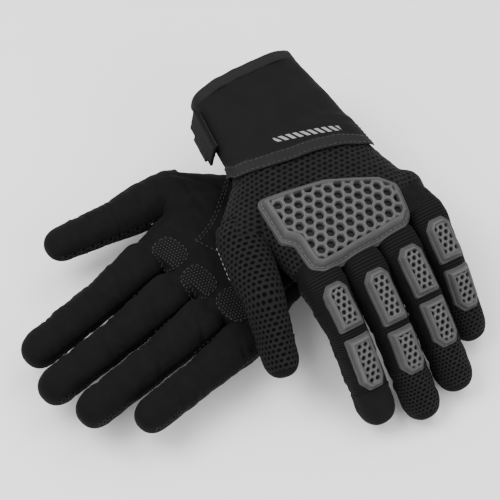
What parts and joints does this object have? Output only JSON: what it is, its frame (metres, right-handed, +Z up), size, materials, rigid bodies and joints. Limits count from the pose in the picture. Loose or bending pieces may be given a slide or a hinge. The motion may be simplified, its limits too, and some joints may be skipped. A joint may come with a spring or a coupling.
{
  "type": "motorcycle gloves",
  "caption": "Pair of short-cuff motorcycle gloves with hinged finger sleeves, moulded knuckle and finger guards, and hook-and-loop wrist flaps.",
  "frame": {"origin": "bottom centre of the pair's bounding box, on the surface that it lies on", "axes": "+Z up; the left glove's fingers point along +X and the right glove's along -Y"},
  "size_m": [0.251, 0.267, 0.0935],
  "materials": {
    "stretch_fabric": "ribbed stretch knit and spacer mesh",
    "palm_suede": "synthetic suede",
    "guard_grey": "moulded matte rubber",
    "foam": "closed-cell foam",
    "neoprene": "fabric-faced neoprene",
    "binding_tape": "woven tape",
    "hook_loop": "hook-and-loop pile"
  },
  "bodies": {
    "left_hand": {"left_back_shell": "stretch_fabric", "left_palm_shell": "palm_suede", "left_knuckle_guard": "guard_grey", "left_guard_foam": "foam", "left_palm_pads": "palm_suede", "left_wrist_gusset": "stretch_fabric"},
    "left_cuff": {"left_cuff_shell": "neoprene", "left_cuff_binding": "binding_tape", "left_loop_patch": "hook_loop"},
    "left_flap": {"left_closure_flap": "neoprene", "left_hook_patch": "hook_loop", "left_pull_tab": "binding_tape"},
    "left_index_base": {"left_index_base": "stretch_fabric", "left_index_base_guard": "guard_grey"},
    "left_index_tip": {"left_index_tip": "stretch_fabric", "left_index_tip_guard": "guard_grey"},
    "left_middle_base": {"left_middle_base": "stretch_fabric", "left_middle_base_guard": "guard_grey"},
    "left_middle_tip": {"left_middle_tip": "stretch_fabric", "left_middle_tip_guard": "guard_grey"},
    "left_ring_base": {"left_ring_base": "stretch_fabric", "left_ring_base_guard": "guard_grey"},
    "left_ring_tip": {"left_ring_tip": "stretch_fabric", "left_ring_tip_guard": "guard_grey"},
    "left_little_base": {"left_little_base": "stretch_fabric", "left_little_base_guard": "guard_grey"},
    "left_little_tip": {"left_little_tip": "stretch_fabric", "left_little_tip_guard": "guard_grey"},
    "left_thumb_base": {"left_thumb_base": "stretch_fabric"},
    "left_thumb_tip": {"left_thumb_tip": "stretch_fabric"},
    "right_hand": {"right_back_shell": "stretch_fabric", "right_palm_shell": "palm_suede", "right_knuckle_guard": "guard_grey", "right_guard_foam": "foam", "right_palm_pads": "palm_suede", "right_wrist_gusset": "stretch_fabric"},
    "right_cuff": {"right_cuff_shell": "neoprene", "right_cuff_binding": "binding_tape", "right_loop_patch": "hook_loop"},
    "right_flap": {"right_closure_flap": "neoprene", "right_hook_patch": "hook_loop", "right_pull_tab": "binding_tape"},
    "right_index_base": {"right_index_base": "stretch_fabric", "right_index_base_guard": "guard_grey"},
    "right_index_tip": {"right_index_tip": "stretch_fabric", "right_index_tip_guard": "guard_grey"},
    "right_middle_base": {"right_middle_base": "stretch_fabric", "right_middle_base_guard": "guard_grey"},
    "right_middle_tip": {"right_middle_tip": "stretch_fabric", "right_middle_tip_guard": "guard_grey"},
    "right_ring_base": {"right_ring_base": "stretch_fabric", "right_ring_base_guard": "guard_grey"},
    "right_ring_tip": {"right_ring_tip": "stretch_fabric", "right_ring_tip_guard": "guard_grey"},
    "right_little_base": {"right_little_base": "stretch_fabric", "right_little_base_guard": "guard_grey"},
    "right_little_tip": {"right_little_tip": "stretch_fabric", "right_little_tip_guard": "guard_grey"},
    "right_thumb_base": {"right_thumb_base": "stretch_fabric"},
    "right_thumb_tip": {"right_thumb_tip": "stretch_fabric"}
  },
  "joints": [
    {"name": "lift_off", "type": "slide", "parent": "right_hand", "child": "left_hand", "axis": [0, 0, 1], "range_m": [0, 0.15]},
    {"name": "left_wrist_bend", "type": "hinge", "parent": "left_hand", "child": "left_cuff", "pos_m": [-0.05869, 0.08634, 0.06632], "axis": [0.1996, 0.9743, -0.1043], "range_deg": [0, 18]},
    {"name": "left_flap_open", "type": "hinge", "parent": "left_cuff", "child": "left_flap", "pos_m": [-0.07268, 0.04226, 0.07955], "axis": [-0.9408, 0.3344, 0.0554], "range_deg": [0, 75]},
    {"name": "left_index_knuckle", "type": "hinge", "parent": "left_hand", "child": "left_index_base", "pos_m": [0.03052, 0.02976, 0.06327], "axis": [0.2166, 0.9705, -0.1055], "range_deg": [-30, 35]},
    {"name": "left_index_middle", "type": "hinge", "parent": "left_index_base", "child": "left_index_tip", "pos_m": [0.06054, 0.02157, 0.04956], "axis": [0.2166, 0.9705, -0.1055], "range_deg": [-16, 39]},
    {"name": "left_middle_knuckle", "type": "hinge", "parent": "left_hand", "child": "left_middle_base", "pos_m": [0.04001, 0.05621, 0.06007], "axis": [0.2336, 0.9665, -0.1066], "range_deg": [-32, 33]},
    {"name": "left_middle_middle", "type": "hinge", "parent": "left_middle_base", "child": "left_middle_tip", "pos_m": [0.07371, 0.04621, 0.04319], "axis": [0.2336, 0.9665, -0.1066], "range_deg": [-10, 45]},
    {"name": "left_ring_knuckle", "type": "hinge", "parent": "left_hand", "child": "left_ring_base", "pos_m": [0.04258, 0.08363, 0.05741], "axis": [0.2336, 0.9665, -0.1066], "range_deg": [-30, 35]},
    {"name": "left_ring_middle", "type": "hinge", "parent": "left_ring_base", "child": "left_ring_tip", "pos_m": [0.07423, 0.07438, 0.04296], "axis": [0.2336, 0.9665, -0.1066], "range_deg": [-10, 45]},
    {"name": "left_little_knuckle", "type": "hinge", "parent": "left_hand", "child": "left_little_base", "pos_m": [0.04026, 0.11208, 0.0551], "axis": [0.2336, 0.9665, -0.1066], "range_deg": [-32, 33]},
    {"name": "left_little_middle", "type": "hinge", "parent": "left_little_base", "child": "left_little_tip", "pos_m": [0.06791, 0.10387, 0.04125], "axis": [0.2336, 0.9665, -0.1066], "range_deg": [-15, 40]},
    {"name": "left_thumb_knuckle", "type": "hinge", "parent": "left_hand", "child": "left_thumb_base", "pos_m": [-0.02286, 0.01344, 0.06752], "axis": [0.3982, 0.9099, -0.1165], "range_deg": [-12, 0]},
    {"name": "left_thumb_middle", "type": "hinge", "parent": "left_thumb_base", "child": "left_thumb_tip", "pos_m": [0.01422, -0.00339, 0.06278], "axis": [0.3982, 0.9099, -0.1165], "range_deg": [-23, 0]},
    {"name": "right_wrist_bend", "type": "hinge", "parent": "right_hand", "child": "right_cuff", "pos_m": [-0.03384, 0.07009, 0.02278], "axis": [-1, 0, 0], "range_deg": [-3, 15]},
    {"name": "right_flap_open", "type": "hinge", "parent": "right_cuff", "child": "right_flap", "pos_m": [-0.08096, 0.07494, 0.01442], "axis": [-0.1323, -0.9888, 0.0691], "range_deg": [0, 75]},
    {"name": "right_index_knuckle", "type": "hinge", "parent": "right_hand", "child": "right_index_base", "pos_m": [-0.07084, -0.02867, 0.02969], "axis": [-0.9998, 0.0174, -0.0012], "range_deg": [-3, 57]},
    {"name": "right_index_middle", "type": "hinge", "parent": "right_index_base", "child": "right_index_tip", "pos_m": [-0.07143, -0.06262, 0.02791], "axis": [-0.9998, 0.0174, -0.0012], "range_deg": [-4, 46]},
    {"name": "right_middle_knuckle", "type": "hinge", "parent": "right_hand", "child": "right_middle_base", "pos_m": [-0.04284, -0.03266, 0.02997], "axis": [-0.9994, 0.0348, -0.0024], "range_deg": [-3, 57]},
    {"name": "right_middle_middle", "type": "hinge", "parent": "right_middle_base", "child": "right_middle_tip", "pos_m": [-0.04419, -0.07159, 0.02792], "axis": [-0.9994, 0.0348, -0.0024], "range_deg": [-5, 45]},
    {"name": "right_ring_knuckle", "type": "hinge", "parent": "right_hand", "child": "right_ring_base", "pos_m": [-0.01534, -0.02967, 0.02976], "axis": [-0.9994, 0.0348, -0.0024], "range_deg": [-3, 57]},
    {"name": "right_ring_middle", "type": "hinge", "parent": "right_ring_base", "child": "right_ring_tip", "pos_m": [-0.01659, -0.0656, 0.02787], "axis": [-0.9994, 0.0348, -0.0024], "range_deg": [-5, 45]},
    {"name": "right_little_knuckle", "type": "hinge", "parent": "right_hand", "child": "right_little_base", "pos_m": [0.01216, -0.02169, 0.0292], "axis": [-0.9994, 0.0348, -0.0024], "range_deg": [-3, 56]},
    {"name": "right_little_middle", "type": "hinge", "parent": "right_little_base", "child": "right_little_tip", "pos_m": [0.01105, -0.05365, 0.02808], "axis": [-0.9994, 0.0348, -0.0024], "range_deg": [-6, 44]},
    {"name": "right_thumb_knuckle", "type": "hinge", "parent": "right_hand", "child": "right_thumb_base", "pos_m": [-0.09784, 0.02035, 0.02826], "axis": [-0.9781, 0.2074, -0.0145], "range_deg": [-8, 30]},
    {"name": "right_thumb_middle", "type": "hinge", "parent": "right_thumb_base", "child": "right_thumb_tip", "pos_m": [-0.10636, -0.01966, 0.03106], "axis": [-0.9781, 0.2074, -0.0145], "range_deg": [-6, 44]}
  ]
}
